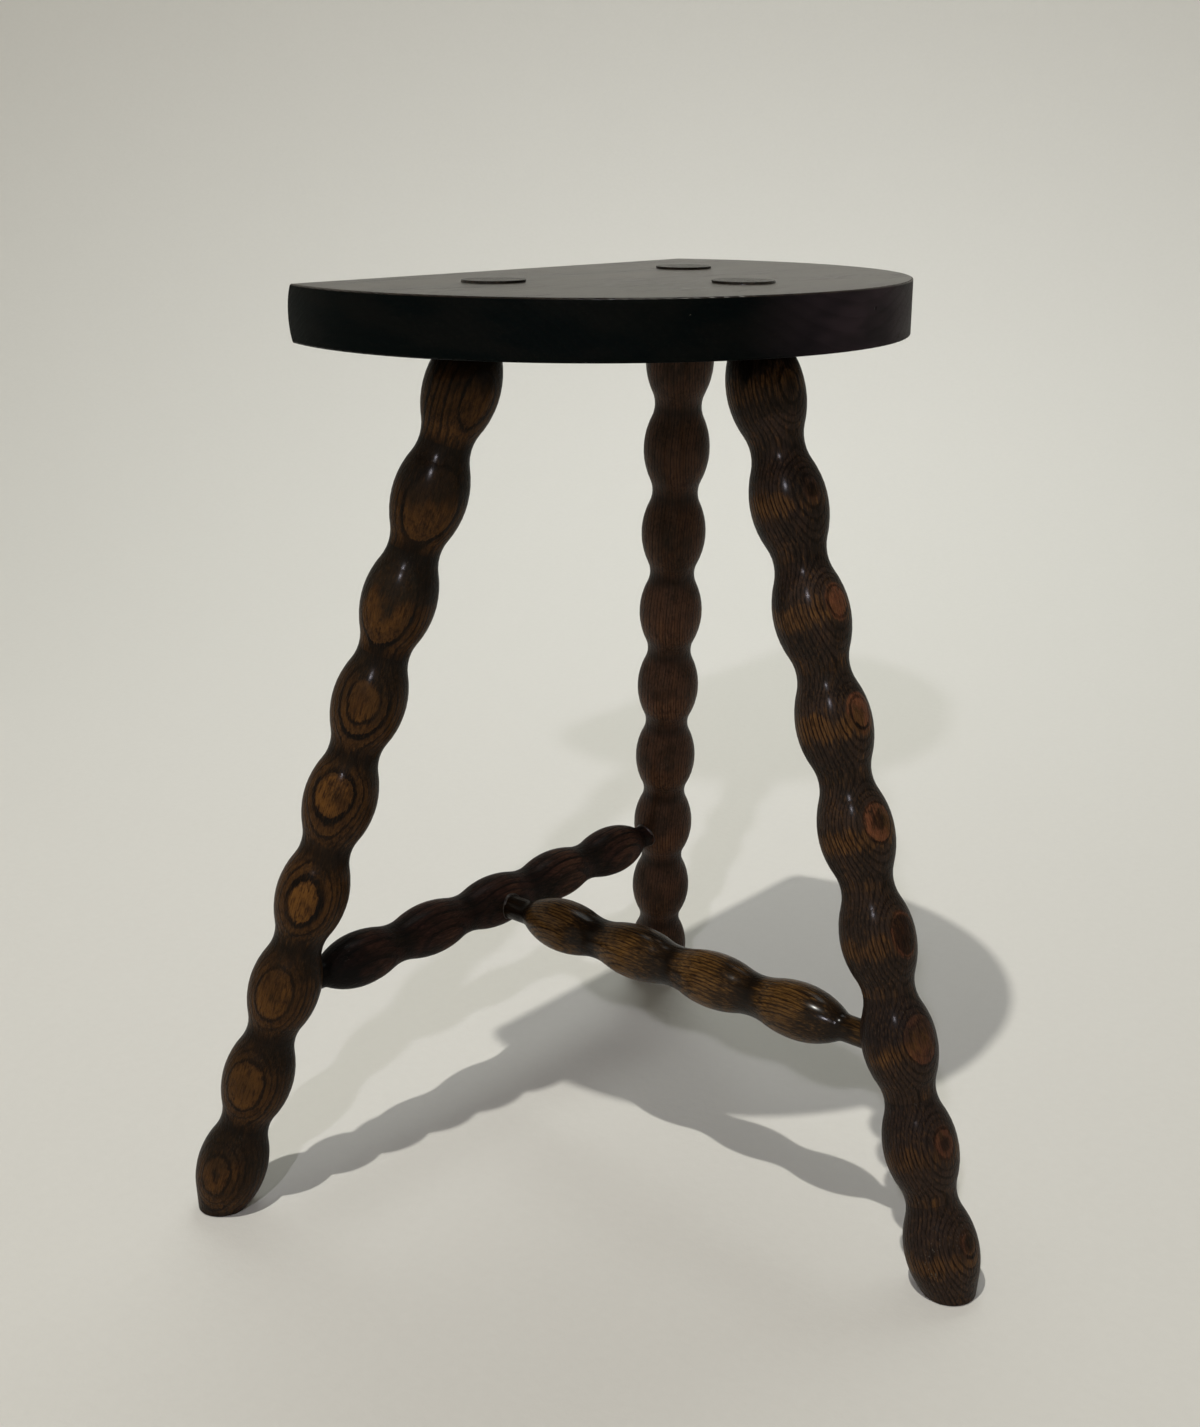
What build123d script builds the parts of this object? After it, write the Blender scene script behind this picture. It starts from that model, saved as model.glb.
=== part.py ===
from build123d import *
import os
from math import cos, isclose, radians, sin, sqrt, tan

# A three-legged stool: a D-shaped plank seat on three splayed, bobbin-turned legs, tied by a T of two
# turned stretchers. Each leg ends in a round tenon that goes right through the seat and is wedged from
# above. The stretchers end in round spigots glued into blind holes.
#
# Millimetres and degrees. +Z is up and the floor is Z = 0. The seat's straight edge faces +Y and its
# round edge faces -Y. The stool is the same on both sides of X = 0, apart from the height of the right
# leg's joint and the lines of the wedges. While the pieces are made, Y is counted from the centre of
# the seat's round edge; at the end everything moves along Y so that the origin is under the middle of
# the stool.

# ---- Seat ----
seat_height = 450.0            # floor to the top of the seat
seat_thickness = 25.0
seat_round_radius = 146.0      # compass radius of the round edge
seat_straight_setback = 55.0   # from the compass centre back to the straight edge, at the top face
straight_edge_crown = 5.0      # how far the straight edge bulges at half its thickness
seat_eased_edge = 0.8          # small round on the corners of the round edge

# ---- Where the legs stand, and how they lean ----
rear_leg_spacing = 135.0       # between the two rear tenons, on the seat's top, along the compass diameter
front_leg_offset = 85.5        # from the compass centre forward to the front tenon
rear_leg_splay = 17.85         # away from upright
rear_leg_heading = 41.8        # direction of the lean, turned from sideways towards the back
front_leg_splay = 16.4         # straight forward

# ---- Leg turning ----
leg_bead_count = 9
leg_bead_diameter = 34.7
leg_neck_diameter = 24.2
leg_crest_arc = 42.0           # radius of the convex arc of a bead, along the leg
leg_tenon_diameter = 27.0
rear_foot_rise = 24.3          # lowest crest to the floor, along the leg
front_foot_rise = 22.0
foot_taper = 20.0              # lean of the foot's flank to the leg's axis
foot_worn_edge = 1.2           # round on the rim that meets the floor
lathe_waste = 2.0              # spare length at each end of a leg until it is sawn level

# ---- Tenon ends and wedges ----
tenon_proud = 1.0              # how far the tenons stand above the seat
glue_line = 0.02               # radial room in every glued round joint
wedge_length = 20.0
wedge_head = 2.8               # thickness at the top of the tenon
wedge_tip = 0.7                # thickness at its lower end
left_wedge_turn = -34.0        # each wedge's line, turned from straight across the seat's grain
right_wedge_turn = 0.0
front_wedge_turn = -12.0

# ---- Stretcher turning ----
stretcher_bead_diameter = 27.7
stretcher_neck_diameter = 20.8
stretcher_crest_arc = 58.0
stretcher_end_length = 27.0    # last crest to the start of the spigot
stretcher_end_arc = 45.0       # convex arc of the outer half of an end bead
spigot_diameter = 13.0
rear_bead_count = 5
medial_bead_count = 4
rear_spigot_show = 5.2         # plain spigot in view at each end of the rear stretcher
medial_spigot_show = 11.0      # the same on the medial stretcher

# ---- Stretcher joints ----
joint_bead = 7                 # the leg bead that takes the stretcher, counted from the seat
joint_drop = 2.5               # the hole's centre below that bead's crest, along the leg
right_joint_drop = 5.5         # the same on the right rear leg, which was bored a little lower
leg_hole_depth = 20.0          # blind holes, from the widest line of the bead
stretcher_hole_depth = 15.0
hole_end_gap = 1.0             # glue room past the end of a spigot


class Wave:
    """A row of bobbin beads: convex arcs that run smoothly into small coves."""

    def __init__(self, crest_radius, neck_radius, half_length, crest_arc):
        self.crest_radius = crest_radius
        self.neck_radius = neck_radius
        self.half_length = half_length
        self.crest_arc = crest_arc
        depth = crest_radius - neck_radius
        both_arcs = (half_length**2 + depth**2) / (2 * depth)
        self.cove_arc = both_arcs - crest_arc
        self.meet_along = half_length * crest_arc / both_arcs
        self.meet_radius = self.crest_at(self.meet_along)

    def crest_at(self, along):
        """Radius on the convex arc, a distance along from the crest."""
        return self.crest_radius - self.crest_arc + sqrt(self.crest_arc**2 - along**2)

    def cove_at(self, along):
        """Radius on the cove, a distance along from the neck."""
        return self.neck_radius + self.cove_arc - sqrt(self.cove_arc**2 - along**2)

    def fall(self, crest, way):
        """Edges from a crest down to the next neck. way is 1 or -1 along the axis."""
        half_meet = self.meet_along / 2
        to_neck = self.half_length - self.meet_along
        top = (self.crest_radius, crest)
        meet = (self.meet_radius, crest + way * self.meet_along)
        neck = (self.neck_radius, crest + way * self.half_length)
        on_crest = (self.crest_at(half_meet), crest + way * half_meet)
        on_cove = (self.cove_at(to_neck / 2), crest + way * (self.half_length - to_neck / 2))
        return [ThreePointArc(top, on_crest, meet), ThreePointArc(meet, on_cove, neck)]


def turned(outline, start, end):
    """A solid of revolution about the Z axis, from an open outline of edges in the XZ plane."""
    first_radius = start[0]
    last_radius = end[0]
    closing = Polyline((last_radius, end[1]), (0, end[1]), (0, start[1]), (first_radius, start[1]))
    face = make_face(Plane.XZ * (Curve() + outline + closing))
    return revolve(face, Axis.Z)


class Leg:
    """One turned leg. Its own axis is Z, with 0 where the axis meets the seat's top and the foot at -Z."""

    def __init__(self, top, splay, heading, foot_rise, wedge_turn, drop):
        self.splay = splay
        self.foot_rise = foot_rise
        self.wedge_turn = wedge_turn
        self.length = seat_height / cos(radians(splay))
        lean = sin(radians(splay))
        self.down = Vector(lean * cos(radians(heading)), lean * sin(radians(heading)), -cos(radians(splay)))
        self.top = Vector(top[0], top[1], seat_height)
        level = Vector(-sin(radians(heading)), cos(radians(heading)), 0)
        self.plane = Plane(origin=self.top, x_dir=level, z_dir=-self.down)
        self.crest_radius = leg_bead_diameter / 2
        self.tenon_radius = leg_tenon_diameter / 2
        # The bead's curve stops at the tenon, and that shoulder touches the underside of the seat on
        # the outer side of the leg.
        tilt = tan(radians(splay))
        self.shoulder = seat_thickness / cos(radians(splay)) + self.tenon_radius * tilt
        tenon_drop = self.crest_radius - self.tenon_radius
        self.shoulder_to_crest = sqrt(leg_crest_arc**2 - (leg_crest_arc - tenon_drop)**2)
        self.first_crest = self.shoulder + self.shoulder_to_crest
        self.pitch = (self.length - foot_rise - self.first_crest) / (leg_bead_count - 1)
        self.wave = Wave(self.crest_radius, leg_neck_diameter / 2, self.pitch / 2, leg_crest_arc)
        self.joint = self.first_crest + (joint_bead - 1) * self.pitch + drop

    def at(self, along):
        """The point on the leg's axis a distance down from the seat's top."""
        return self.top + self.down * along

    def blank(self):
        """The leg as it leaves the lathe, with extra length at both ends."""
        tilt = tan(radians(self.splay))
        top = self.tenon_radius * tilt + tenon_proud / cos(radians(self.splay)) + lathe_waste
        shoulder = -self.shoulder
        crest = -self.first_crest
        half = self.shoulder_to_crest / 2
        outline = [
            Line((self.tenon_radius, top), (self.tenon_radius, shoulder)),
            ThreePointArc((self.tenon_radius, shoulder), (self.wave.crest_at(half), crest + half),
                          (self.crest_radius, crest)),
        ]
        for _ in range(leg_bead_count - 1):
            outline += self.wave.fall(crest, -1)
            crest -= self.pitch
            outline += self.wave.fall(crest, 1)
        # The foot: the last bead's arc down to a straight flank.
        arc_end = leg_crest_arc * sin(radians(foot_taper))
        arc_radius = self.wave.crest_at(arc_end)
        flank_end = self.foot_rise + self.crest_radius * tilt + lathe_waste
        flank_radius = arc_radius - (flank_end - arc_end) * tan(radians(foot_taper))
        end = (flank_radius, crest - flank_end)
        outline += [
            ThreePointArc((self.crest_radius, crest), (self.wave.crest_at(arc_end / 2), crest - arc_end / 2),
                          (arc_radius, crest - arc_end)),
            Line((arc_radius, crest - arc_end), end),
        ]
        return self.plane * turned(outline, (self.tenon_radius, top), end)

    def wedge_prism(self):
        """The tapered slot that the wedge fills, wider than the tenon and standing above it."""
        above = self.tenon_radius * tan(radians(self.splay)) + 2 * tenon_proud + lathe_waste
        growth = (wedge_head - wedge_tip) / wedge_length
        head = wedge_head / 2 + growth / 2 * above
        side = Polyline((-head, above), (head, above), (wedge_tip / 2, -wedge_length),
                        (-wedge_tip / 2, -wedge_length), (-head, above))
        # The wedge's line runs across the seat's grain, so along Y, turned by wedge_turn.
        across = Vector(0, 1, 0).rotate(Axis.Z, self.wedge_turn)
        across = (across - self.down * across.dot(self.down)).normalized()
        slot_plane = Plane(origin=self.top, x_dir=self.down.cross(across), z_dir=-across)
        return extrude(slot_plane * make_face(side), leg_tenon_diameter, both=True)

    def tenon_hole(self):
        """The slanted hole that the seat has for this leg."""
        reach = seat_thickness + leg_tenon_diameter
        hole = Cylinder(self.tenon_radius + glue_line, 2 * reach)
        return self.plane * hole


def everything_above(height):
    """A block that holds all that is above a level plane."""
    size = 4 * seat_height
    return Pos(0, 0, height) * Box(size, size, size, align=(Align.CENTER, Align.CENTER, Align.MIN))


def spigot_hole(centre, way, surface_radius, depth):
    """A blind hole along way, out of a turned piece whose axis passes through centre."""
    bottom = centre + way * (surface_radius - depth)
    length = depth + surface_radius
    from_bottom = (Align.CENTER, Align.CENTER, Align.MIN)
    hole = Cylinder(spigot_diameter / 2 + glue_line, length, align=from_bottom)
    return Plane(origin=bottom, z_dir=way) * hole


def stretcher(start, end, bead_count, start_radius, end_radius, start_depth, end_depth, spigot_show):
    """A turned stretcher from the axis point start to the axis point end. Its beads fill the clear
    length between the two surfaces that it enters."""
    way = (end - start).normalized()
    clear_start = start_radius + spigot_show
    clear_end = (end - start).length - end_radius - spigot_show
    pitch = (clear_end - clear_start - 2 * stretcher_end_length) / (bead_count - 1)
    crest_radius = stretcher_bead_diameter / 2
    spigot_radius = spigot_diameter / 2
    wave = Wave(crest_radius, stretcher_neck_diameter / 2, pitch / 2, stretcher_crest_arc)
    ending = Wave(crest_radius, spigot_radius, stretcher_end_length, stretcher_end_arc)
    first = (spigot_radius, start_radius - start_depth + hole_end_gap)
    last = (spigot_radius, (end - start).length - end_radius + end_depth - hole_end_gap)
    crest = clear_start + stretcher_end_length
    outline = [Line(first, (spigot_radius, clear_start))] + ending.fall(crest, -1)
    for _ in range(bead_count - 1):
        outline += wave.fall(crest, 1)
        crest += pitch
        outline += wave.fall(crest, -1)
    outline += ending.fall(crest, 1) + [Line((spigot_radius, clear_end), last)]
    return Plane(origin=start, z_dir=way) * turned(outline, first, last)


def seat_plank(legs):
    """The plank with its crowned straight edge, sawn round in front and bored for the legs."""
    low = seat_height - seat_thickness
    middle = seat_height - seat_thickness / 2
    front = -2 * seat_round_radius
    back = seat_straight_setback
    section = Curve() + [
        ThreePointArc((back, low), (back + straight_edge_crown, middle), (back, seat_height)),
        Polyline((back, seat_height), (front, seat_height), (front, low), (back, low)),
    ]
    plank = extrude(Plane.YZ * make_face(section), 2 * seat_round_radius, both=True)
    round_front = Pos(0, 0, middle) * Cylinder(seat_round_radius, seat_thickness)
    seat = plank & round_front
    rims = seat.edges().filter_by(lambda edge: edge.geom_type == GeomType.CIRCLE
                                  and isclose(edge.radius, seat_round_radius))
    seat = fillet(rims, seat_eased_edge)
    for leg in legs:
        seat -= leg.tenon_hole()
    return seat


def finished_leg(leg, holes):
    """A leg sawn level at both ends, with its kerf and its stretcher hole."""
    shape = leg.blank() & everything_above(0)
    rim = shape.edges().group_by(Axis.Z)[0]
    shape = fillet(rim, foot_worn_edge)
    shape -= everything_above(seat_height + tenon_proud)
    shape -= leg.wedge_prism()
    for hole in holes:
        shape -= hole
    return shape


def wedge(leg):
    """The wedge, trimmed to the tenon's round and sawn off level with its top."""
    tenon = leg.plane * Cylinder(leg.tenon_radius, 4 * wedge_length)
    return (leg.wedge_prism() & tenon) - everything_above(seat_height + tenon_proud)


def main():
    half_spacing = rear_leg_spacing / 2
    left = Leg((-half_spacing, 0), rear_leg_splay, 180 - rear_leg_heading, rear_foot_rise, left_wedge_turn,
               joint_drop)
    right = Leg((half_spacing, 0), rear_leg_splay, rear_leg_heading, rear_foot_rise, right_wedge_turn,
                right_joint_drop)
    front = Leg((0, -front_leg_offset), front_leg_splay, -90, front_foot_rise, front_wedge_turn, joint_drop)

    left_joint = left.at(left.joint)
    right_joint = right.at(right.joint)
    front_joint = front.at(front.joint)
    rear_middle = (left_joint + right_joint) * 0.5
    sideways = (right_joint - left_joint).normalized()
    forward = (front_joint - rear_middle).normalized()
    leg_radius = leg_bead_diameter / 2
    # An odd row of beads has a crest at its middle, an even row has a neck there.
    middle_diameter = stretcher_bead_diameter if rear_bead_count % 2 else stretcher_neck_diameter
    middle_radius = middle_diameter / 2

    pieces = {
        "seat": seat_plank([left, right, front]),
        "leg_left": finished_leg(left, [spigot_hole(left_joint, sideways, leg_radius, leg_hole_depth)]),
        "leg_right": finished_leg(right, [spigot_hole(right_joint, -sideways, leg_radius, leg_hole_depth)]),
        "leg_front": finished_leg(front, [spigot_hole(front_joint, -forward, leg_radius, leg_hole_depth)]),
        "rear_stretcher": stretcher(left_joint, right_joint, rear_bead_count, leg_radius, leg_radius,
                                    leg_hole_depth, leg_hole_depth, rear_spigot_show)
        - spigot_hole(rear_middle, forward, middle_radius, stretcher_hole_depth),
        "medial_stretcher": stretcher(rear_middle, front_joint, medial_bead_count, middle_radius, leg_radius,
                                      stretcher_hole_depth, leg_hole_depth, medial_spigot_show),
        "wedge_left": wedge(left),
        "wedge_right": wedge(right),
        "wedge_front": wedge(front),
    }

    outline = Compound(list(pieces.values())).bounding_box()
    to_origin = Pos(0, -outline.center().Y, 0)
    os.makedirs("parts", exist_ok=True)
    for name, shape in pieces.items():
        export_step(to_origin * shape, f"parts/{name}.step")


main()
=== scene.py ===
import random
from math import cos, pi, radians, sin

import bmesh
import bpy
from mathutils import Matrix, Vector
from mathutils.bvhtree import BVHTree


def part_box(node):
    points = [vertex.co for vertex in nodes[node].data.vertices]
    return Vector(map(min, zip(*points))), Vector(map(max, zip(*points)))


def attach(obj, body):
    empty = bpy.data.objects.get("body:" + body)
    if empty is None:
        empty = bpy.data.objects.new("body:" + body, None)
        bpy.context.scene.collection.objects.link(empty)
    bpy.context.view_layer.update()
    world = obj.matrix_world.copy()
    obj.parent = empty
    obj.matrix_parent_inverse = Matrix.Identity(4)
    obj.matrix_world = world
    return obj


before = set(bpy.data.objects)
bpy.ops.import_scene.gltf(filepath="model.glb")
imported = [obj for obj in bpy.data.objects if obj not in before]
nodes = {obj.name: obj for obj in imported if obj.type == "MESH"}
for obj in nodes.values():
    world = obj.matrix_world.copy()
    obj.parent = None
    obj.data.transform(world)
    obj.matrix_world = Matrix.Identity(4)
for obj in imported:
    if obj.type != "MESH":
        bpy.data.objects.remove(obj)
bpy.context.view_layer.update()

# The stool's own sizes are in millimetres, and the room, lamps and camera are placed in metres.
# Headings, from +X towards +Y, and splay and spread are in degrees. Turns, and the camera's dip and
# roll, are in radians. The seat's straight edge is on the +Y side.


# ---- The seat ----
# A plank sawn to a D, its grain along the straight edge. The sawn edge is stained almost black. The
# top was stained the same, and years of use and wax have left it browner and smoother than the edge.

seat_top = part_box("seat")[1].z * 1000
seat_compass_y = 60.3

seat_black = (0.0010, 0.0022, 0.0022, 1)
seat_charcoal = (0.0026, 0.0032, 0.0028, 1)
seat_brown = (0.026, 0.0185, 0.0125, 1)
seat_line = (0.0020, 0.0017, 0.0015, 1)
seat_plum = (0.0330, 0.0225, 0.0270, 1)
bare_wood = (0.17, 0.145, 0.115, 1)
bare_shine = 0.02


class Finish:
    """One finish. Each call adds a node and gives back its result, to feed into the next call."""

    def __init__(self, name):
        self.material = bpy.data.materials.new(name)
        self.material.use_nodes = True
        self.tree = self.material.node_tree
        self.skin = self.tree.nodes["Principled BSDF"]

    def feed(self, socket, value):
        """Links a node's result to the socket, or sets a plain value on it."""
        if isinstance(value, bpy.types.NodeSocket):
            self.tree.links.new(value, socket)
        else:
            socket.default_value = value

    def add(self, kind, feeds, result=0, **settings):
        """A node of that kind, with what to feed to each of its sockets, and its settings by name."""
        node = self.tree.nodes.new("ShaderNode" + kind)
        for setting, value in settings.items():
            setattr(node, setting, value)
        for socket, value in feeds.items():
            self.feed(node.inputs[socket], value)
        return node.outputs[result]

    def sum(self, a, b):
        return self.add("Math", {0: a, 1: b}, operation="ADD")

    def less(self, a, b):
        return self.add("Math", {0: a, 1: b}, operation="SUBTRACT")

    def times(self, a, b):
        return self.add("Math", {0: a, 1: b}, operation="MULTIPLY")

    def part(self, a):
        """What is left of a number after its whole part."""
        return self.add("Math", {0: a}, operation="FRACT")

    def rise(self, value, low, high, start=0.0, end=1.0):
        """Start below low, end above high, and a smooth curve between."""
        feeds = {0: value, 1: low, 2: high, 3: start, 4: end}
        return self.add("MapRange", feeds, interpolation_type="SMOOTHSTEP")

    def scale(self, share, start, end):
        """Start where share is 0 or less, end where it is 1 or more, and a straight line between."""
        return self.add("MapRange", {0: share, 1: 0.0, 2: 1.0, 3: start, 4: end})

    def course(self, where, stops, curve="EASE"):
        """The number at where, a place from 0 to 1, on a line through stops of place and number."""
        numbers = [number for _, number in stops]
        low, high = min(numbers), max(numbers)
        node = self.tree.nodes.new("ShaderNodeValToRGB")
        node.color_ramp.interpolation = curve
        marks = node.color_ramp.elements
        marks.remove(marks[1])
        for count, (place, number) in enumerate(stops):
            mark = marks.new(place) if count else marks[0]
            mark.position = place
            grey = (number - low) / (high - low)
            mark.color = (grey, grey, grey, 1)
        self.feed(node.inputs[0], where)
        return self.scale(node.outputs[0], low, high)

    def noise(self, spot, size, detail=2.0, roughness=0.5):
        """Cloudy noise from 0 to 1, with one cloud about that size along X, Y and Z."""
        per_cloud = tuple(1.0 / length for length in size)
        spread = self.add("VectorMath", {0: spot, 1: per_cloud}, operation="MULTIPLY")
        feeds = {"Vector": spread, "Scale": 1.0, "Detail": detail, "Roughness": roughness}
        return self.add("TexNoise", feeds)

    def stray(self, noise, amount):
        """A noise as a number that strays to both sides of 0, by up to half of amount."""
        return self.times(self.less(noise, 0.5), amount)

    def blend(self, share, first, second):
        """The first colour where share is 0, the second where it is 1."""
        feeds = {0: share, 6: first, 7: second}
        return self.add("Mix", feeds, result=2, data_type="RGBA", clamp_factor=True)

    def place(self, origin, turn=(0, 0, 0)):
        """The surface's place in a frame of its own. Turn goes from that frame to the stool's."""
        seen = self.add("TexCoord", {}, result="Object")
        feeds = {0: seen, 1: tuple(v / 1000 for v in origin), 2: turn}
        metres = self.add("Mapping", feeds, vector_type="TEXTURE")
        return self.add("VectorMath", {0: metres, "Scale": 1000.0}, operation="SCALE")

    def split(self, spot):
        node = self.tree.nodes.new("ShaderNodeSeparateXYZ")
        self.feed(node.inputs[0], spot)
        return node.outputs

    def join(self, x, y, z=0.0):
        return self.add("CombineXYZ", {0: x, 1: y, 2: z})

    def length(self, vector):
        return self.add("VectorMath", {0: vector}, result="Value", operation="LENGTH")

    def finish(self, colour, roughness):
        self.feed(self.skin.inputs["Base Color"], colour)
        self.feed(self.skin.inputs["Roughness"], roughness)

    def relief(self, height, depth):
        """Gives the surface a height, in parts of depth."""
        bumped = self.add("Bump", {"Strength": 1.0, "Distance": depth / 1000, "Height": height})
        self.feed(self.skin.inputs["Normal"], bumped)

    def wax(self, weight, roughness):
        """A coat of wax over stained wood, which hardly shines by itself."""
        self.skin.inputs["Specular IOR Level"].default_value = bare_shine
        self.feed(self.skin.inputs["Coat Weight"], weight)
        self.skin.inputs["Coat Roughness"].default_value = roughness


def wear(obj, finish):
    """The piece takes that finish and no other."""
    obj.data.materials.clear()
    obj.data.materials.append(finish.material)


class SeatStain(Finish):
    """Black stain on the sawn edge, worn to brown and waxed on top."""

    ring_spacing = 3.3
    heart_depth = 95.0
    dent_spacing = 20.0
    plum_from, plum_full = -70.0, 10.0
    top_roughness, edge_roughness, wax_roughness = 0.31, 0.44, 0.28
    relief_depth = 0.09

    # How large each noise's clouds are: along the grain, across it, and down through the plank.
    sway_size = (190, 26, 34)
    fibre_size = (30, 0.9, 0.7)
    cloud_size = (80, 30, 30)
    smudge_size = (38, 38, 14)
    scratched_size = (31, 37, 23)

    # A scratch is a cloud too, in a frame that is turned by this much.
    scratch_size = (0.35, 3.4, 9.0)
    scratch_turn = (0.0, 0.5, 0.75)

    def __init__(self):
        super().__init__("seat_dark_stain")
        self.spot = self.place((0, seat_compass_y, seat_top))
        self.x, self.y, self.z = self.split(self.spot)
        self.on_top = self.rise(self.z, -0.9, -0.2)
        self.fibre = self.noise(self.spot, self.fibre_size, 4.0, 0.65)
        self.cloud = self.noise(self.spot, self.cloud_size, 3.0, 0.55)
        self.late = self.ring_lines()
        self.scratch, self.dent = self.marks()
        self.finish(self.colour(), self.dullness())
        height = self.sum(self.times(self.fibre, 0.8), self.times(self.late, 0.4))
        height = self.less(height, self.sum(self.times(self.dent, 1.8), self.scratch))
        self.relief(height, self.relief_depth)
        self.wax(self.times(self.on_top, self.rise(self.cloud, 0.25, 0.75, 0.43, 0.68)), self.wax_roughness)

    def ring_lines(self):
        """Growth rings round a heart well below the plank, so the top shows long lines."""
        sway = self.stray(self.noise(self.spot, self.sway_size), 12.0)
        from_heart = self.length(self.join(self.sum(self.y, sway), self.sum(self.z, self.heart_depth)))
        ring = self.part(self.times(self.sum(from_heart, self.times(sway, 0.4)), 1 / self.ring_spacing))
        return self.course(ring, ((0.0, 0.0), (0.45, 0.0), (0.82, 1.0), (0.93, 1.0), (1.0, 0.0)))

    def marks(self):
        """A few short scratches, and pits where the top has been dented."""
        along_scratch = self.place((0, 0, 0), self.scratch_turn)
        thin = self.rise(self.noise(along_scratch, self.scratch_size, 1.0, 0.4), 0.80, 0.84)
        scratched = self.rise(self.noise(self.spot, self.scratched_size, 1.0), 0.56, 0.66)
        dents = self.add("TexVoronoi", {"Vector": self.spot, "Scale": 1 / self.dent_spacing})
        return self.times(thin, scratched), self.rise(dents, 0.02, 0.055, 1.0, 0.0)

    def colour(self):
        smudge = self.noise(self.spot, self.smudge_size)
        colour = self.blend(self.rise(smudge, 0.4, 0.65), seat_black, seat_charcoal)
        # The stain on the edge has gone plum towards one end.
        to_plum = self.times(self.rise(self.x, self.plum_from, self.plum_full),
                             self.rise(smudge, 0.35, 0.6, 0.5, 1.0))
        colour = self.blend(self.times(to_plum, 0.85), colour, seat_plum)
        worn = self.times(self.on_top, self.rise(self.cloud, 0.3, 0.7, 0.35, 1.0))
        colour = self.blend(worn, colour, seat_brown)
        colour = self.blend(self.times(self.late, self.scale(self.on_top, 0.15, 0.6)), colour, seat_line)
        streak = self.rise(self.fibre, 0.5, 0.78)
        colour = self.blend(self.times(streak, self.scale(self.on_top, 0.12, 0.4)), colour, seat_brown)
        colour = self.blend(self.times(self.scratch, 0.75), colour, bare_wood)
        return self.blend(self.times(self.dent, 0.8), colour, seat_line)

    def dullness(self):
        roughness = self.scale(self.on_top, self.edge_roughness, self.top_roughness)
        return self.sum(self.sum(roughness, self.stray(self.fibre, 0.24)), self.stray(self.cloud, 0.22))


wear(nodes["seat"], SeatStain())


# ---- The legs ----
# Three lengths of slow-grown pine, turned to rows of beads, on which the growth rings show as eyes.
# They are stained dark, and the stain has worn thin on the beads. The round tenon at the top goes
# through the seat, and is finished with it.

leg_bead_radius = 17.35
leg_beads = 9
rear_leg_top = (67.5, seat_compass_y, seat_top)
rear_leg_splay = 17.85
rear_leg_heading = 41.8
rear_leg_first_crest = 48.18
rear_leg_pitch = 50.03
front_leg_top = (0.0, -25.2, seat_top)
front_leg_splay = 16.4
front_leg_heading = 270.0
front_leg_first_crest = 47.60
front_leg_pitch = 49.94


def level(heading):
    """The level way towards a heading."""
    return (cos(radians(heading)), sin(radians(heading)), 0.0)


def slanted(heading, splay):
    """The way down a leg that leans out by splay degrees towards heading."""
    x, y, _ = level(heading)
    lean = sin(radians(splay))
    return (lean * x, lean * y, -cos(radians(splay)))


def own_frame(way, facing):
    """Turn to the stool's frame from one with +Z against way and +X as near facing as can be."""
    up = -Vector(way).normalized()
    side = Vector(facing)
    side = (side - up * side.dot(up)).normalized()
    return tuple(Matrix((side, up.cross(side), up)).transposed().to_euler("XYZ"))


def ring_stops(rings):
    """The length of a run of growth rings, and its darkness from 0 to 1 along it. Each ring is a pale
    width, a dark width and a darkness, and its dark part starts sharp and fades."""
    start_width, full_share, faded, seam = 0.08, 0.65, 0.2, 0.1
    run = sum(pale + dark for pale, dark, _ in rings)
    stops = [(0.0, seam)]
    at = 0.0
    for pale, dark, darkness in rings:
        at += pale
        stops.append(((at - start_width) / run, 0.0))
        stops.append((at / run, darkness))
        stops.append(((at + dark * full_share) / run, darkness))
        at += dark
        stops.append((at / run, darkness * faded))
    return run, stops[:-1] + [(1.0, seam)]


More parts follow.
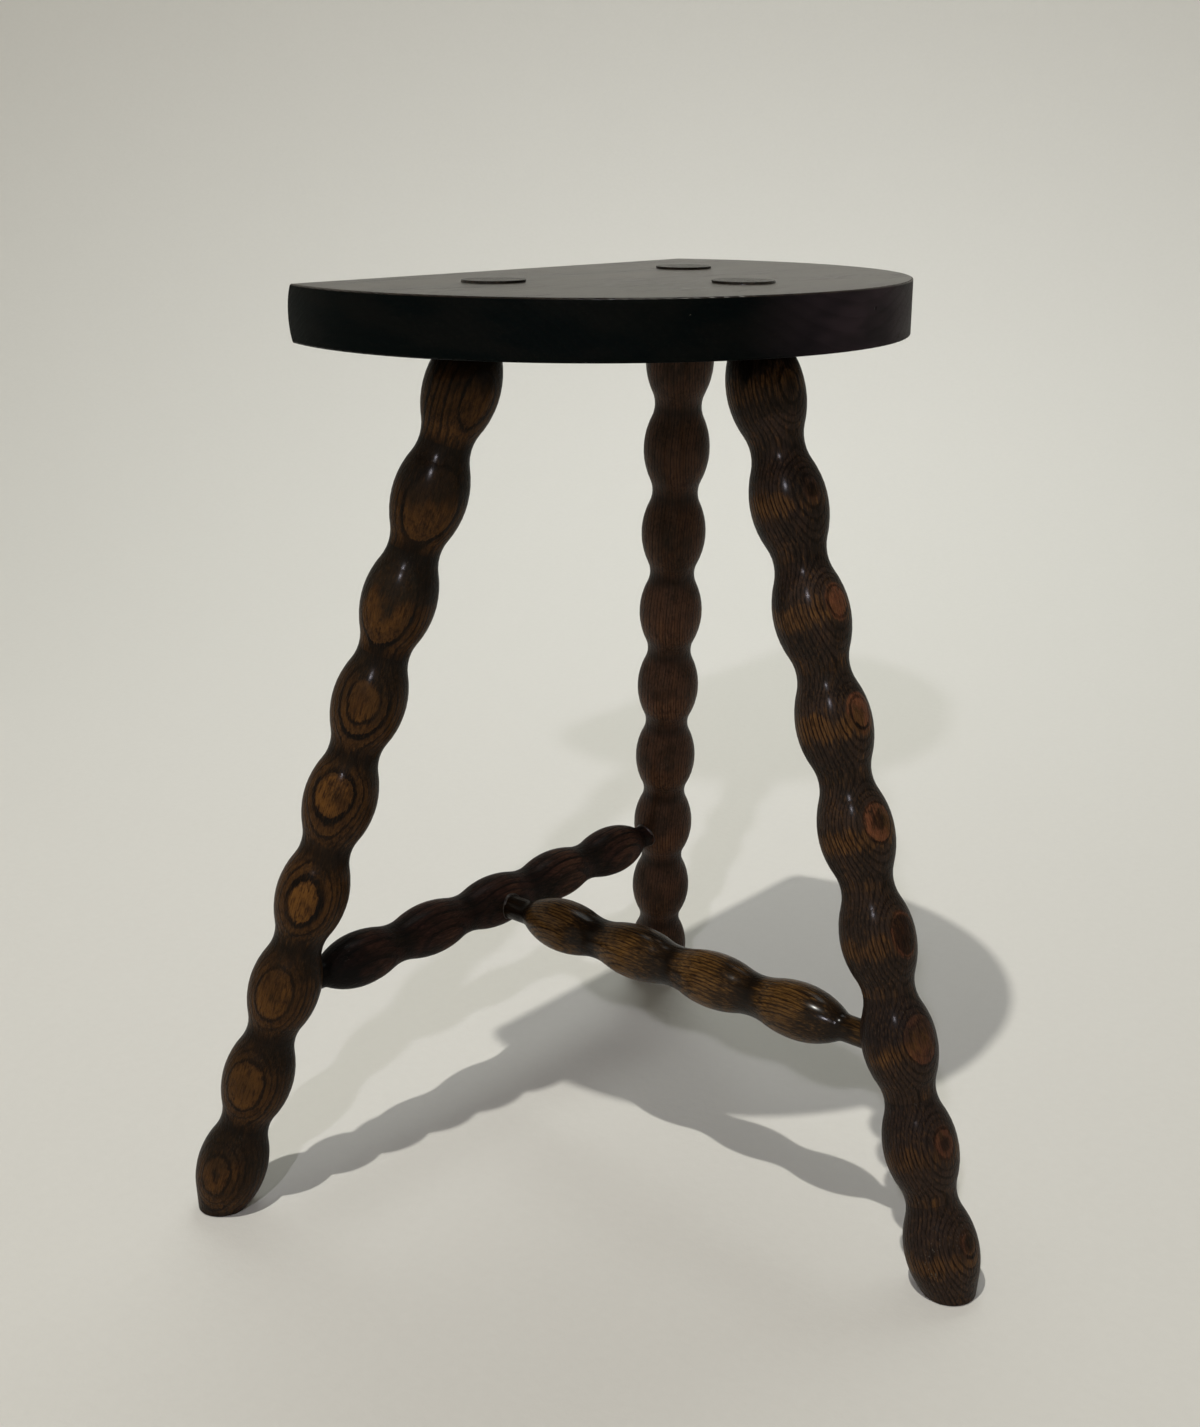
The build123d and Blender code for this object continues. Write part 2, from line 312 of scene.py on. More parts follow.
class TurnedPine(Finish):
    """Stained pine for a turned piece. Its look says how its rings lie, and how it has been stained and
    worn. The look's origin is the top of its centre line, its way is the way down that line, and its
    eye is the way that the eyes on its beads face."""

    # How large each noise's clouds are: across the grain both ways, and along it.
    slow_size = (24, 24, 90)
    quick_size = (6, 6, 20)
    fuzz_size = (0.8, 0.8, 5.0)
    fibre_size = (0.8, 0.8, 15)
    fine_fibre_size = (0.75, 0.75, 7.0)
    streak_size = (1.1, 1.1, 12)
    fleck_size = (2.4, 2.4, 5.0)
    patch_size = (13, 13, 22)
    speck_size = (0.8, 0.8, 2.0)
    knock_size = (16, 16, 28)
    ripple_size = (3.0, 3.0, 5.5)
    dimple_size = (1.3, 1.3, 2.2)
    gouge_mark_size = (30, 30, 0.55)

    relief_depth = 0.17
    wax_roughness = 0.19
    tenon_coat = 0.36

    def __init__(self, name, look):
        super().__init__(name)
        self.look = look
        self.set_out()
        self.lay_rings()
        self.wear_through()
        self.hatch = self.short_pores()
        self.scuff = self.knocks()
        colour = self.wood_and_stain()
        colour = self.with_lines(colour)
        colour = self.with_fibres(colour)
        colour = self.with_dark_necks_and_end_shade(colour)
        colour = self.blend(self.times(self.scuff, 0.5), colour, bare_wood)
        coat = look["coat"]
        if look["through_seat"]:
            above_seat = self.rise(self.split(self.place((0, 0, seat_top)))[2], -0.6, 0.1)
            colour = self.blend(above_seat, colour, self.tenon_end())
            coat = self.scale(above_seat, coat, self.tenon_coat)
        self.finish(colour, self.dullness())
        self.relief(self.height(), self.relief_depth)
        self.wax(coat, self.wax_roughness)

    def by_bead(self, key):
        """What the look says of the bead that the surface is on. It may be one number for them all."""
        number = self.look[key]
        return number if isinstance(number, float) else self.course(self.along, number)

    def most(self, a, b):
        return self.add("Math", {0: a, 1: b}, operation="MAXIMUM")

    def facing(self, way):
        """1 on the side that faces way, in the piece's own frame, and -1 on the other side."""
        side = self.add("VectorMath", {0: self.join(self.x, self.y)}, operation="NORMALIZE")
        return self.add("VectorMath", {0: side, 1: way}, result="Value", operation="DOT_PRODUCT")

    def set_out(self):
        """Where the surface is on the piece, and the noises that several of its marks share."""
        look = self.look
        self.spot = self.place(look["origin"], own_frame(look["way"], look["eye"]))
        self.x, self.y, z = self.split(self.spot)
        # Beads counted along the piece: a whole number in a neck, and a half more on a crest.
        self.count = self.sum(self.times(z, -1 / look["pitch"]), 0.5 - look["first_crest"] / look["pitch"])
        self.along = self.times(self.count, 1 / look["beads"])
        self.in_bead = self.part(self.count)
        self.fibre = self.noise(self.spot, self.fibre_size, 4.0, 0.65)
        self.patch = self.noise(self.spot, self.patch_size, 3.0, 0.55)
        fleck = self.noise(self.spot, self.fleck_size, 3.0, 0.65)
        self.mottle = self.sum(self.fibre, self.stray(fleck, 0.9))

    def lay_rings(self):
        """How deep the surface lies under the crests, and how dark the rings are there. The rings are
        round a heart that is outside the piece, on the side away from the eyes."""
        look = self.look
        veer = self.by_bead("veer")
        from_heart = self.length(self.join(self.sum(self.x, look["heart"]), self.sum(self.y, veer)))
        depth = self.less(self.sum(self.length(self.join(look["heart"], veer)), look["crest"]), from_heart)
        # The grain leans, so an eye lies a little above its crest.
        wave = self.add("Math", {0: self.times(self.count, 2 * pi)}, operation="SINE")
        depth = self.less(depth, self.times(wave, self.by_bead("lean")))
        # It sways less near a crest, where an eye would lose its shape.
        slow = self.stray(self.noise(self.spot, self.slow_size), look["slow_sway"])
        quick = self.stray(self.noise(self.spot, self.quick_size, 3.0, 0.6), look["quick_sway"])
        sway = self.times(self.sum(slow, quick), self.rise(depth, 0.0, 5.0, look["calm"], 1.0))
        fuzz = self.stray(self.noise(self.spot, self.fuzz_size, 3.0, 0.6), look["fuzz"])
        self.depth = self.sum(self.sum(depth, fuzz), sway)
        # The rings are wider towards the heart.
        widened = self.sum(self.times(self.most(self.depth, 0.0), look["widen"]), 1.0)
        in_rings = self.add("Math", {0: self.depth, 1: widened}, operation="DIVIDE")
        run, darkness = ring_stops(look["rings"])
        in_run = self.part(self.times(self.sum(in_rings, self.by_bead("shift")), 1 / run))
        late = self.course(in_run, darkness, "LINEAR")
        outside_eye = self.rise(self.less(self.depth, self.by_bead("clear")), -0.1, 0.1, 0.25, 1.0)
        self.late = self.times(self.times(late, outside_eye), self.rise(self.patch, 0.28, 0.5, 0.65, 1.0))

    def wear_through(self):
        """Where the stain has worn through to the wood, more on one side than on the other."""
        look = self.look
        ragged = self.sum(self.stray(self.fibre, 0.30), self.stray(self.patch, 0.22))
        in_bead = self.sum(self.sum(self.in_bead, ragged), self.by_bead("worn_shift"))
        worn = self.times(self.course(in_bead, look["worn_in_bead"]), self.by_bead("worn_along"))
        self.on_worn_side = self.facing(level(look["worn_side"]))
        worn = self.times(worn, self.scale(self.on_worn_side, 1.0, 1.0 + look["one_sided"]))
        worn = self.sum(worn, self.stray(self.patch, look["patchy"]))
        streaks = self.noise(self.spot, self.streak_size, 3.0, 0.6)
        self.worn = self.rise(self.sum(worn, self.stray(streaks, look["streaky"])), 0.2, 0.8)

    def short_pores(self):
        pores = self.rise(self.noise(self.spot, self.look["hatch_size"], 2.0, 0.55), 0.48, 0.66)
        return self.times(pores, self.times(self.look["hatch"], self.rise(self.patch, 0.35, 0.6, 0.45, 1.0)))

    def knocks(self):
        """Scuffs: pale grey specks where the wax has been knocked off."""
        specks = self.rise(self.noise(self.spot, self.speck_size, 2.0, 0.6), 0.62, 0.72)
        scuffed = self.look["scuffed"]
        knocked = self.rise(self.noise(self.spot, self.knock_size, 1.0), scuffed, scuffed + 0.08)
        return self.times(self.times(specks, knocked), self.by_bead("scuff_along"))

    def wood_and_stain(self):
        """Bare wood where it is worn and in the eyes, and stain elsewhere."""
        look = self.look
        wood = self.blend(self.rise(self.mottle, 0.3, 0.7), look["gold"], look["amber"])
        warm_side = self.scale(self.on_worn_side, 1.0 - look["one_sided"] / 2, 1.0)
        warm = self.times(self.rise(self.patch, 0.35, 0.6), warm_side)
        # The stain is warmer in patches on the worn side. Along a piece it can also grow warmer and lighter
        # bead by bead: partly a warmer stain, partly painted light, as on the front leg, whose top lies in
        # the seat's shade.
        stain = self.blend(self.most(warm, self.by_bead("warm_and_lit_along")), look["stain"], look["stain_warm"])
        colour = self.blend(self.worn, stain, wood)
        in_core = self.rise(self.less(self.depth, self.by_bead("core")), -0.45, 0.0, 1.0, 0.0)
        core = self.times(self.times(in_core, self.by_bead("core_along")),
                          self.rise(self.mottle, 0.3, 0.85, 1.0, 0.25))
        amber = self.rise(self.sum(self.patch, self.stray(self.mottle, 0.5)), 0.43, 0.68)
        colour = self.blend(core, colour, self.blend(amber, look["core_colour"], look["amber"]))
        pith = self.rise(self.less(self.depth, self.by_bead("pith")), -0.2, 0.2, 0.85, 0.0)
        return self.blend(pith, colour, look["line"])

    def with_lines(self, colour):
        """The dark lines of the rings, and the darker stain on the upper half of some beads."""
        look = self.look
        colour = self.blend(self.times(self.late, self.scale(self.worn, 0.72, 1.0)), colour, look["line"])
        ragged = self.sum(self.stray(self.patch, 1.0), self.stray(self.mottle, 0.35))
        upper_half = self.rise(self.sum(self.in_bead, ragged), 0.40, 0.62, 1.0, 0.0)
        shade = self.times(self.times(upper_half, self.rise(self.mottle, 0.3, 0.75, 1.0, 0.72)),
                           self.by_bead("shade_along"))
        return self.blend(shade, colour, self.blend(self.times(self.late, 0.4), look["shade"], look["line"]))

    def with_fibres(self, colour):
        """Single fibres that took less of the stain, or more, and the short dark pores."""
        look = self.look
        colour = self.blend(self.rise(self.mottle, 0.53, 0.80, 0.0, 0.65), colour, look["line"])
        fine = self.noise(self.spot, self.fine_fibre_size, 3.0, 0.65)
        colour = self.blend(self.rise(fine, 0.50, 0.72, 0.0, 0.30), colour, look["gold"])
        colour = self.blend(self.rise(fine, 0.28, 0.50, 0.55, 0.0), colour, look["line"])
        return self.blend(self.hatch, colour, look["line"])

    def with_dark_necks_and_end_shade(self, colour):
        """Darker in the necks, and painted shade at the ends: under the seat and beside the joints."""
        look = self.look
        from_crest = self.add("Math", {0: self.less(self.in_bead, 0.5)}, operation="ABSOLUTE")
        in_neck = self.sum(from_crest, self.stray(self.patch, 0.35))
        neck_darkness = self.rise(in_neck, 0.36, 0.52, 0.0, look["neck_darkness"])
        # Painted shade, with a ragged edge, under the seat and where a stretcher meets the piece that carries
        # it.
        dark_until, clean_from, most_dark = look["painted_shade_start"]
        shade_at_start = self.rise(self.sum(self.count, self.stray(self.patch, 0.9)), dark_until, clean_from,
                             most_dark, 0.0)
        clean_until, dark_from, most_dark = look["painted_shade_end"]
        shade_at_end = self.rise(self.sum(self.count, self.stray(self.patch, 0.5)), clean_until, dark_from,
                           0.0, most_dark)
        return self.blend(self.most(neck_darkness, self.most(shade_at_start, shade_at_end)), colour, look["line"])

    def tenon_end(self):
        """The seat's finish on the end grain of the tenon, above the seat."""
        end_grain = self.blend(self.rise(self.fibre, 0.35, 0.65), seat_charcoal, seat_brown)
        return self.blend(self.times(self.late, 0.75), end_grain, seat_line)

    def dullness(self):
        roughness = self.sum(self.look["roughness"], self.stray(self.fibre, 0.26))
        roughness = self.sum(roughness, self.stray(self.patch, 0.22))
        return self.sum(roughness, self.sum(self.times(self.late, -0.05), self.times(self.scuff, 0.3)))

    def height(self):
        """Raised rings and fibres, sunk pores and scuffs, an old surface's ripples and dimples, and the
        gouge's fine marks, which run round the piece."""
        height = self.sum(self.times(self.late, 0.7), self.times(self.fibre, 1.3))
        height = self.less(height, self.sum(self.times(self.hatch, 0.3), self.scuff))
        ripple = self.noise(self.spot, self.ripple_size, 5.0, 0.7)
        dimple = self.noise(self.spot, self.dimple_size, 3.0, 0.6)
        gouge_mark = self.noise(self.spot, self.gouge_mark_size, 1.0)
        for mark, amount in ((ripple, 1.6), (dimple, 3.0), (gouge_mark, 0.45)):
            height = self.sum(height, self.times(mark, amount))
        return height


def per_bead(*numbers):
    """Stops for one number on each bead, from the first to the last."""
    return tuple(((k + 0.5) / len(numbers), number) for k, number in enumerate(numbers))


# What every turned piece has unless its own look says otherwise.
stained_pine = dict(
    # The rings: how far off their heart is, and how they veer, lean, sway and widen.
    heart=120.0, veer=0.0, lean=0.0, shift=0.0, widen=0.02, slow_sway=2.6, quick_sway=0.7, calm=0.3, fuzz=0.2,
    # The eyes: how deep they are clear of lines, their bare core, and the dark pith in it.
    clear=-9.0, core=0.6, core_along=0.0, core_colour=(0.10, 0.05, 0.03, 1), pith=-9.0,
    # Where the stain has worn through.
    worn_shift=0.0, worn_side=0.0, one_sided=0.0, patchy=0.8, streaky=1.0,
    # Lines, pores, warmer and darker stain, darker necks, and painted shade at the ends. A shade at an end
    # past the last bead is none.
    line=(0.0048, 0.0030, 0.0018, 1), hatch=0.0, hatch_size=(0.6, 0.6, 4.0), warm_and_lit_along=0.0,
    shade_along=0.0, shade=(0.0095, 0.0070, 0.0056, 1),
    neck_darkness=0.6, painted_shade_start=(0.12, 0.34, 0.92), painted_shade_end=(20.0, 21.0, 0.0),
    # The surface, and whether the piece comes out on top of the seat.
    scuffed=0.66, scuff_along=0.5, roughness=0.42, coat=0.10, through_seat=False)

rear_leg = dict(
    stained_pine, through_seat=True, crest=leg_bead_radius, first_crest=rear_leg_first_crest,
    pitch=rear_leg_pitch, beads=leg_beads)
left_leg = dict(
    rear_leg, origin=(-rear_leg_top[0], rear_leg_top[1], seat_top),
    way=slanted(180 - rear_leg_heading, rear_leg_splay), eye=level(212),
    rings=((1.3, 1.25, 1.0), (1.3, 0.6, 0.9), (1.1, 0.5, 0.7), (1.0, 0.8, 0.9), (1.2, 0.5, 0.7),
           (1.0, 0.8, 0.9)),
    slow_sway=2.9, quick_sway=1.3, calm=0.6, fuzz=1.3,
    veer=per_bead(108.0, 42.0, -24.0, 8.0, -8.0, -3.0, -7.0, -18.0, -24.0),
    lean=per_bead(0.0, 0.0, 0.0, 0.8, 1.8, 0.3, 0.2, 0.2, 0.2),
    shift=per_bead(2.3, -2.7, -3.2, -1.7, 0.0, 0.15, 1.95, 1.55, 2.4),
    clear=per_bead(1.5, 4.0, 4.5, 0.9, 1.2, 1.05, 1.8, 2.2, 1.3),
    core=per_bead(1.6, 3.9, 3.5, 1.0, 1.3, 1.15, 1.9, 2.3, 1.5),
    core_along=per_bead(0.5, 0.2, 0.3, 0.6, 1.0, 1.0, 0.75, 0.6, 0.35),
    pith=per_bead(-0.6, -0.6, -0.6, -0.6, -0.6, -0.6, 0.10, -0.6, 0.30),
    worn_in_bead=((0.0, 0.2), (0.2, 0.4), (0.38, 0.95), (0.7, 1.0), (0.86, 0.5), (1.0, 0.2)),
    worn_shift=per_bead(0.0, -0.12, -0.2, -0.02, 0.05, 0.05, 0.0, 0.0, -0.1),
    worn_along=per_bead(1.4, 0.8, 0.85, 1.05, 1.2, 1.0, 0.9, 0.95, 0.7),
    worn_side=-60.0, one_sided=0.4, patchy=0.9, streaky=1.5, painted_shade_start=(0.25, 0.62, 0.97),
    shade_along=per_bead(0.35, 0.85, 0.95, 0.45, 0.1, 0.0, 0.3, 0.35, 0.6),
    shade=(0.0088, 0.0070, 0.0048, 1), core_colour=(0.118, 0.050, 0.0110, 1),
    gold=(0.066, 0.029, 0.0080, 1), amber=(0.036, 0.0155, 0.0050, 1),
    stain=(0.0125, 0.0072, 0.0038, 1), stain_warm=(0.021, 0.0105, 0.0052, 1))
front_leg = dict(
    stained_pine, through_seat=True, crest=leg_bead_radius, first_crest=front_leg_first_crest,
    pitch=front_leg_pitch, beads=leg_beads, origin=front_leg_top,
    way=slanted(front_leg_heading, front_leg_splay), eye=level(259),
    rings=((0.5, 0.4, 0.95), (0.85, 0.4, 0.85), (0.7, 0.45, 0.95), (0.75, 0.35, 0.85), (0.7, 0.4, 0.95),
           (0.6, 0.4, 0.85), (0.8, 0.4, 0.95)),
    slow_sway=1.6, quick_sway=0.5, fuzz=0.5, widen=0.025,
    veer=per_bead(-8.0, -6.0, 12.0, 12.0, -8.0, 8.0, -10.0, -4.0, 12.0),
    lean=per_bead(0.0, 1.1, 1.3, 1.2, 1.5, 0.7, 1.2, 1.0, 1.2),
    shift=per_bead(2.2, 1.2, 0.1, 0.15, -0.4, -0.6, 0.1, 0.0, 0.3),
    clear=per_bead(0.0, 0.0, 0.1, 0.1, 0.4, 1.3, 0.7, 0.2, 0.1),
    core=per_bead(0.5, 0.5, 1.1, 1.35, 1.3, 1.7, 2.0, 0.95, 0.7),
    core_along=per_bead(0.0, 0.2, 0.95, 0.95, 0.95, 0.85, 0.75, 0.95, 0.85),
    pith=per_bead(0.2, 0.0, -0.7, -0.6, -0.15, 1.15, -0.6, 0.05, 0.0),
    worn_in_bead=((0.0, 0.36), (0.06, 0.12), (0.43, 0.08), (0.53, 0.85), (0.62, 1.0), (0.69, 0.45),
                  (0.76, 0.02), (0.95, 0.22), (1.0, 0.37)),
    worn_shift=per_bead(0.12, 0.10, 0.12, 0.08, 0.06, 0.08, 0.09, 0.08, 0.05),
    worn_along=per_bead(0.55, 0.52, 0.6, 0.65, 0.65, 0.54, 0.54, 0.58, 0.60),
    worn_side=-120.0, one_sided=0.6, patchy=1.0, streaky=1.9, neck_darkness=0.12, painted_shade_start=(0.24, 0.42, 0.95),
    shade_along=per_bead(0.2, 0.0, 0.2, 0.2, 0.1, 0.2, 0.8, 0.5, 0.45),
    # Warmer and lighter towards the foot: partly the stain, partly painted light, since the top lies in the
    # seat's shade.
    warm_and_lit_along=per_bead(0.0, 0.0, 0.0, 0.0, 0.1, 0.3, 0.6, 0.9, 1.0),
    scuffed=0.56, scuff_along=per_bead(0.2, 0.2, 0.3, 0.2, 0.3, 0.3, 0.3, 0.5, 1.0),
    shade=(0.0110, 0.0078, 0.0078, 1), core_colour=(0.150, 0.052, 0.0230, 1),
    gold=(0.115, 0.054, 0.0175, 1), amber=(0.062, 0.028, 0.0100, 1), line=(0.0028, 0.0020, 0.0013, 1),
    stain=(0.0165, 0.0116, 0.0084, 1), stain_warm=(0.034, 0.0208, 0.0150, 1))
right_leg = dict(
    rear_leg, origin=rear_leg_top, way=slanted(rear_leg_heading, rear_leg_splay), eye=level(298),
    rings=((0.7, 0.3, 0.8), (0.6, 0.25, 0.6), (0.7, 0.35, 0.9), (0.5, 0.25, 0.6), (0.8, 0.3, 0.8)),
    slow_sway=1.6, patchy=0.7,
    worn_in_bead=((0.0, 0.15), (0.35, 0.2), (0.55, 0.75), (0.7, 0.8), (0.85, 0.2), (1.0, 0.15)),
    worn_along=per_bead(0.3, 0.45, 0.5, 0.7, 0.8, 0.8, 0.7, 0.6, 0.6),
    gold=(0.100, 0.046, 0.022, 1), amber=(0.070, 0.030, 0.015, 1),
    stain=(0.0290, 0.0155, 0.0088, 1), stain_warm=(0.055, 0.0265, 0.0150, 1))
for node, look in (("leg_left", left_leg), ("leg_front", front_leg), ("leg_right", right_leg)):
    wear(nodes[node], TurnedPine(node + "_pine", look))


# ---- The stretchers ----
# Two more turned lengths make a T under the seat. The long one goes from one rear leg to the other,
# and the short one from its middle to the front leg. Round spigots at their ends are glued in.

stretcher_bead_radius = 13.85
stretcher_spigot_radius = 6.5
stretcher_heart = 60.0
left_joint_height = 116.0
right_joint_height = 113.2
front_joint_height = 114.5


def on_leg(leg, height):
    """The point at that height on a leg's centre line."""
    top, way = Vector(leg["origin"]), Vector(leg["way"])
    return top + way * (height - top.z) / way.z


left_joint = on_leg(left_leg, left_joint_height)
right_joint = on_leg(right_leg, right_joint_height)
front_joint = on_leg(front_leg, front_joint_height)
rear_middle = (left_joint + right_joint) / 2

rear_stretcher = dict(
    stained_pine, crest=stretcher_bead_radius, first_crest=49.55, pitch=49.25, beads=5,
    origin=left_joint, way=right_joint - left_joint, eye=(0, -0.97, -0.22),
    rings=((1.5, 0.9, 0.9), (1.3, 0.7, 0.7), (1.7, 1.0, 1.0), (1.4, 0.7, 0.7)),
    heart=stretcher_heart, slow_sway=4.5, quick_sway=1.6, calm=1.0, fuzz=0.6,
    worn_in_bead=((0.0, 0.2), (0.3, 0.5), (0.6, 0.9), (0.85, 0.3), (1.0, 0.2)),
    worn_along=per_bead(0.35, 0.5, 0.45, 0.8, 0.7), painted_shade_start=(0.1, 0.65, 0.9),
    gold=(0.072, 0.034, 0.019, 1), amber=(0.048, 0.021, 0.014, 1), line=(0.0052, 0.0050, 0.0047, 1),
    stain=(0.0110, 0.0080, 0.0058, 1), stain_warm=(0.028, 0.0130, 0.0098, 1), roughness=0.5, coat=0.04)
medial_stretcher = dict(
    stained_pine, crest=stretcher_bead_radius, first_crest=51.85, pitch=49.67, beads=4,
    origin=rear_middle, way=front_joint - rear_middle, eye=(-0.85, 0, -0.53),
    rings=((0.7, 0.45, 0.8), (0.6, 0.4, 0.6), (0.8, 0.45, 0.85), (0.6, 0.4, 0.65)),
    heart=stretcher_heart, slow_sway=2.4, quick_sway=1.2, calm=0.8, fuzz=1.0,
    worn_in_bead=((0.0, 0.1), (0.12, 0.6), (0.3, 1.0), (0.5, 0.85), (0.75, 0.4), (1.0, 0.1)),
    worn_along=per_bead(1.1, 0.85, 0.82, 0.82), worn_side=-90.0, one_sided=0.75, patchy=1.7, streaky=1.4,
    hatch=0.6, hatch_size=(0.45, 0.45, 7.0), neck_darkness=0.95, painted_shade_start=(0.0, 0.25, 0.9),
    painted_shade_end=(3.95, 4.35, 0.7), gold=(0.124, 0.061, 0.0160, 1), amber=(0.080, 0.037, 0.0100, 1),
    stain=(0.0110, 0.0060, 0.0028, 1), stain_warm=(0.028, 0.0142, 0.0056, 1), coat=0.28)
for node, look in (("rear_stretcher", rear_stretcher), ("medial_stretcher", medial_stretcher)):
    wear(nodes[node], TurnedPine(node + "_pine", look))


# ---- The glue ----
# Hide glue and old wax squeezed out round the four spigots, in a thin uneven ring where each enters
# the leg or stretcher that carries it.

glue_width = 0.75
glue_sink = 0.15
glue_steps = 48
glue_grain = (1.6, 1.6, 1.6)
sight_distance = 60.0
glue_grime = (0.0060, 0.0045, 0.0035, 1)
dark_glue = (0.022, 0.014, 0.009, 1)
red_glue = (0.034, 0.015, 0.010, 1)
pale_glue = (0.044, 0.033, 0.024, 1)


def glue_finish(name, colour):
    glue = Finish(name)
    grime = glue.noise(glue.place((0, 0, 0)), glue_grain, 3.0, 0.6)
    dirty = glue.blend(glue.rise(grime, 0.4, 0.62), colour, glue_grime)
    glue.finish(dirty, glue.rise(grime, 0.3, 0.7, 0.3, 0.5))
    glue.relief(grime, 0.12)
    return glue


def surface_of(node):
    """A node's surface, to be met by straight lines."""
    mesh = bmesh.new()
    mesh.from_mesh(nodes[node].data)
    surface = BVHTree.FromBMesh(mesh)
    mesh.free()
    return surface


def glue_ring(name, carrier, start, way, colour, seed):
    """A ring round the spigot that leaves start, inside the carrier, along way. It is set out on the
    carrier's surface, as seen from outside along the spigot."""
    surface = surface_of(carrier)
    way = way.normalized()
    side = way.orthogonal().normalized()
    across = way.cross(side)
    outside = start + way * sight_distance

    def met(outward, radius):
        """How far the carrier's surface is from outside, at that radius."""
        distance = surface.ray_cast((outside + outward * radius) / 1000, -way)[3]
        return distance * 1000

    def section(outward, width):
        """The ring's outline there, as radii and distances from outside, from the spigot outward and
        back under the carrier's surface."""
        inner = stretcher_spigot_radius - glue_sink
        shoulder = stretcher_spigot_radius + width * 0.15
        middle = stretcher_spigot_radius + width * 0.4
        outer = stretcher_spigot_radius + width
        near = met(outward, stretcher_spigot_radius)
        halfway = met(outward, middle)
        return ((inner, near - width), (shoulder, near - width * 0.7), (middle, halfway - width * 0.3),
                (outer, met(outward, outer)), (middle, halfway + glue_sink), (inner, near + glue_sink))

    chance = random.Random(seed)
    waves = [(chance.uniform(0.1, 0.3) / k, k, chance.uniform(0, 2 * pi)) for k in (1, 2, 3, 5, 8)]
    mesh = bmesh.new()
    rows = []
    for step in range(glue_steps):
        turn = 2 * pi * step / glue_steps
        outward = side * cos(turn) + across * sin(turn)
        width = glue_width * (1 + sum(size * sin(k * turn + offset) for size, k, offset in waves))
        rows.append([mesh.verts.new((outside + outward * radius - way * far) / 1000)
                     for radius, far in section(outward, width)])
    for row, after in zip(rows, rows[1:] + rows[:1]):
        for k in range(len(row)):
            mesh.faces.new((row[k], row[k - 1], after[k - 1], after[k])).smooth = True
    bmesh.ops.recalc_face_normals(mesh, faces=mesh.faces)
    data = bpy.data.meshes.new(name)
    mesh.to_mesh(data)
    mesh.free()
    ring = bpy.data.objects.new(name, data)
    bpy.context.scene.collection.objects.link(ring)
    wear(ring, glue_finish(name, colour))
    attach(ring, "root")


glue_ring("glue_left", "leg_left", left_joint, right_joint - left_joint, dark_glue, 1)
glue_ring("glue_right", "leg_right", right_joint, left_joint - right_joint, red_glue, 2)
glue_ring("glue_middle", "rear_stretcher", rear_middle, front_joint - rear_middle, pale_glue, 3)
glue_ring("glue_front", "leg_front", front_joint, rear_middle - front_joint, dark_glue, 4)


# ---- The wedges ----
# A thin wedge of the same pine is driven from above into a saw cut across each tenon, to spread it in
# its hole. It is sawn off level with the tenon and finished with the seat.

wedge_pine = dict(
    rear_leg, way=(0, 0, -1), eye=(1, 0, 0), rings=((0.9, 0.4, 0.9), (1.1, 0.4, 0.7)),
    worn_in_bead=((0.0, 0.2), (1.0, 0.3)), worn_along=((0.0, 0.2), (1.0, 0.3)),
    gold=(0.088, 0.040, 0.020, 1), amber=(0.060, 0.025, 0.013, 1),
    stain=(0.0140, 0.0078, 0.0055, 1), stain_warm=(0.030, 0.0140, 0.0090, 1))
for node, leg in (("wedge_left", left_leg), ("wedge_right", right_leg), ("wedge_front", front_leg)):
    wear(nodes[node], TurnedPine(node + "_pine", dict(wedge_pine, origin=leg["origin"])))


# ---- The floor ----
# A pale painted floor, flat under and round the stool. It curves up all round into a wall of the same
# paint, well clear of the stool, so no corner shows behind it.

floor_flat_radius = 1.0
floor_segments = 128
sweep_length = 3.2
sweep_steps = 64
wall_height = 2.4
paint_grain = (6, 6, 6)
paint_cream = (0.715, 0.700, 0.665, 1)
paint_white = (0.745, 0.730, 0.695, 1)
paint_roughness = 0.75


def floor_outline():
    """Radius and height of the sweep from the flat of the floor to the top of the wall."""
    radius, height = floor_flat_radius, 0.0
    outline = [(radius, height)]
    for step in range(sweep_steps):
        share = (step + 0.5) / sweep_steps
        turn = pi / 2 * share * share * (3 - 2 * share)
        radius += cos(turn) * sweep_length / sweep_steps
        height += sin(turn) * sweep_length / sweep_steps
        outline.append((radius, height))
    return outline + [(radius, max(wall_height, height + 0.1))]


def floor_sweep():
    mesh = bmesh.new()
    turns = [2 * pi * k / floor_segments for k in range(floor_segments)]
    rings = [[mesh.verts.new((radius * cos(turn), radius * sin(turn), height)) for turn in turns]
             for radius, height in floor_outline()]
    mesh.faces.new(rings[0])
    for low, high in zip(rings, rings[1:]):
        for k in range(floor_segments):
            after = (k + 1) % floor_segments
            mesh.faces.new((low[k], low[after], high[after], high[k])).smooth = True
    data = bpy.data.meshes.new("floor_sweep")
    mesh.to_mesh(data)
    mesh.free()
    return data


floor = bpy.data.objects.new("floor_sweep", floor_sweep())
bpy.context.scene.collection.objects.link(floor)
paint = Finish("floor_paint")
grain = paint.noise(paint.place((0, 0, 0)), paint_grain, 3.0, 0.6)
paint.finish(paint.blend(grain, paint_cream, paint_white), paint_roughness)
paint.relief(grain, 0.2)
wear(floor, paint)


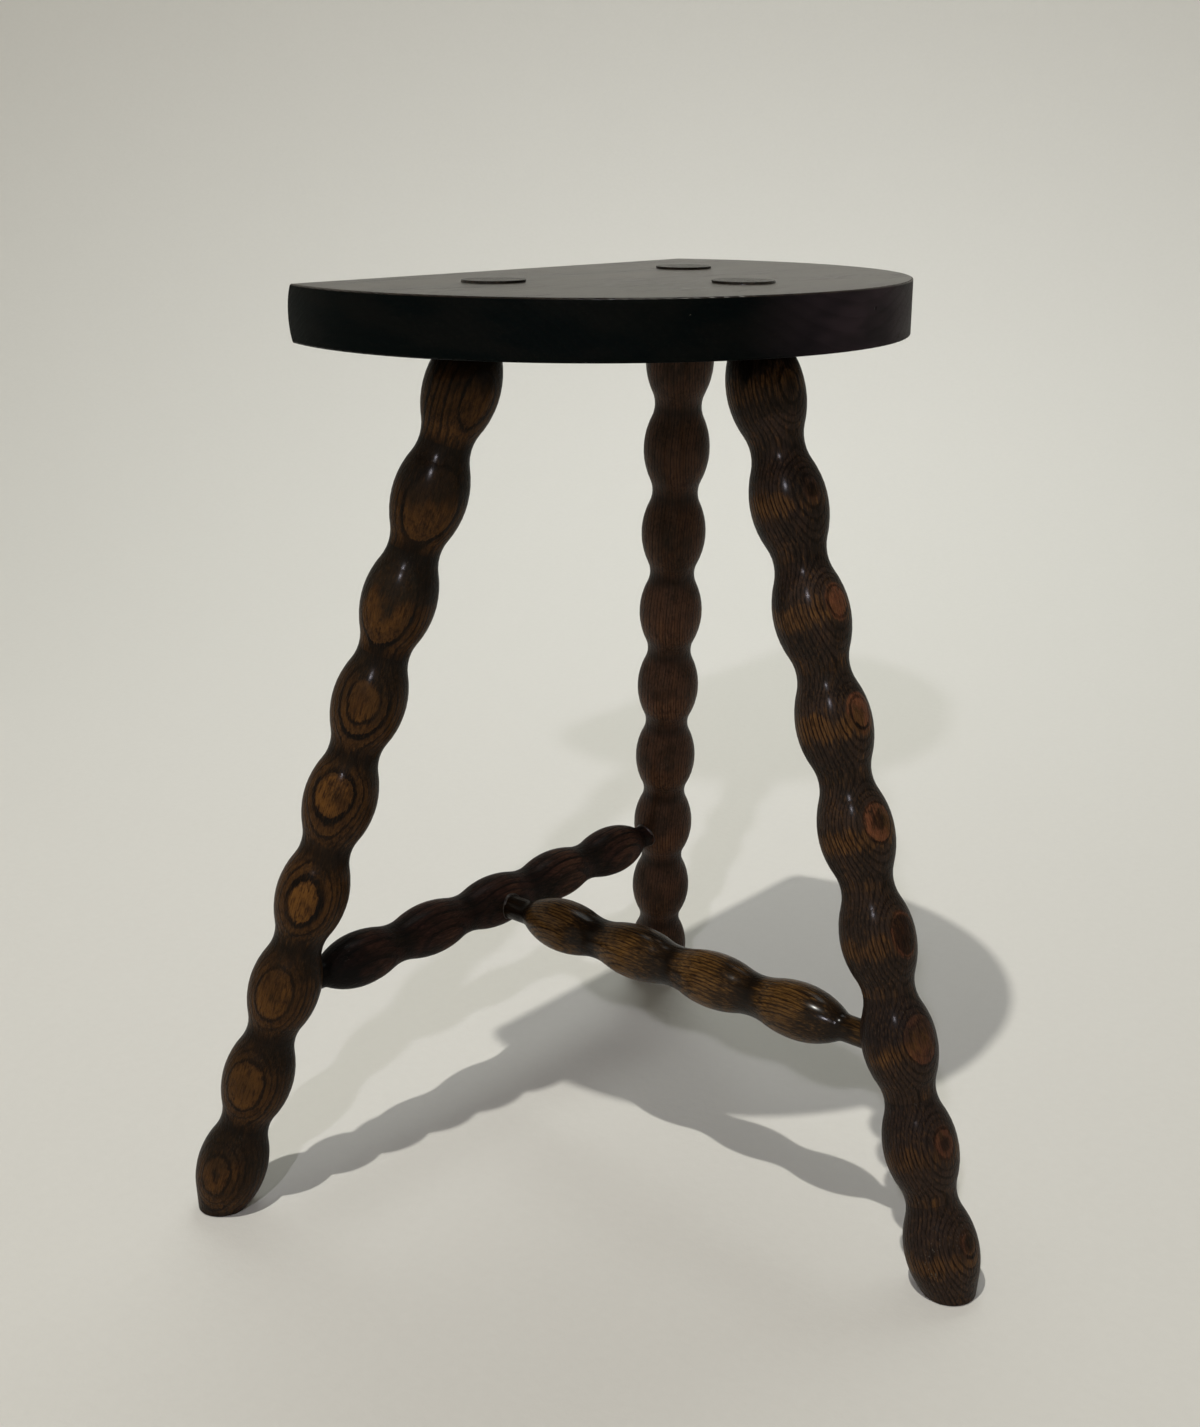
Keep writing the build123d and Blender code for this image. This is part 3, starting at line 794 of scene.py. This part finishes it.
# ---- The light ----
# One lamp high on the left, a weaker one lower at the left front, and a wide soft one over the right
# that lights the wall behind. Pale light from all round fills the shadows.


def lamp(name, place, aim, size, power, colour, spread):
    """A round lamp that shines from place towards aim, within a cone of spread degrees."""
    data = bpy.data.lights.new(name, "AREA")
    data.shape = "DISK"
    data.size = size
    data.energy = power
    data.color = colour
    data.spread = radians(spread)
    obj = bpy.data.objects.new(name, data)
    obj.location = place
    obj.rotation_euler = (Vector(aim) - Vector(place)).to_track_quat("-Z", "Y").to_euler()
    bpy.context.scene.collection.objects.link(obj)


lamp("high_lamp", place=(-1.31, -0.27, 3.25), aim=(0.0, 0.0, 0.1), size=0.06, power=60.0,
     colour=(1.0, 0.98, 0.90), spread=180)
lamp("low_lamp", place=(-2.10, -1.15, 1.78), aim=(1.3, 0.9, 0.2), size=0.08, power=2.6,
     colour=(0.92, 0.90, 1.0), spread=50)
lamp("back_lamp", place=(1.05, 0.6, 2.7), aim=(1.25, 0.85, 0.1), size=1.5, power=9.0,
     colour=(0.95, 1.0, 0.97), spread=90)

world = bpy.data.worlds.new("soft_light")
bpy.context.scene.world = world
world.use_nodes = True
all_round = world.node_tree.nodes["Background"]
all_round.inputs["Color"].default_value = (1.0, 0.91, 0.78, 1)
all_round.inputs["Strength"].default_value = 0.018


# ---- The camera ----
# A little above the seat, at the left front of the stool, tipped down so that the feet show. The lens
# is slightly long: its focal length is given in pixels, of an image that is 1427 pixels high.

camera_place = (-0.6348, -0.4840, 0.5004)
camera_dip, camera_roll, camera_turn = 0.3057, 0.0012, -0.8656
focal_length = 1753.0
image_height = 1427

camera_data = bpy.data.cameras.new("camera")
camera_data.sensor_width = 36.0
camera_data.lens = focal_length / image_height * camera_data.sensor_width
camera = bpy.data.objects.new("camera", camera_data)
camera.location = camera_place
camera.rotation_euler = (pi / 2 - camera_dip, 0.0, camera_turn)
camera.rotation_euler.rotate_axis("Z", camera_roll)
bpy.context.scene.collection.objects.link(camera)
bpy.context.scene.camera = camera
bpy.context.scene.view_settings.view_transform = "Standard"
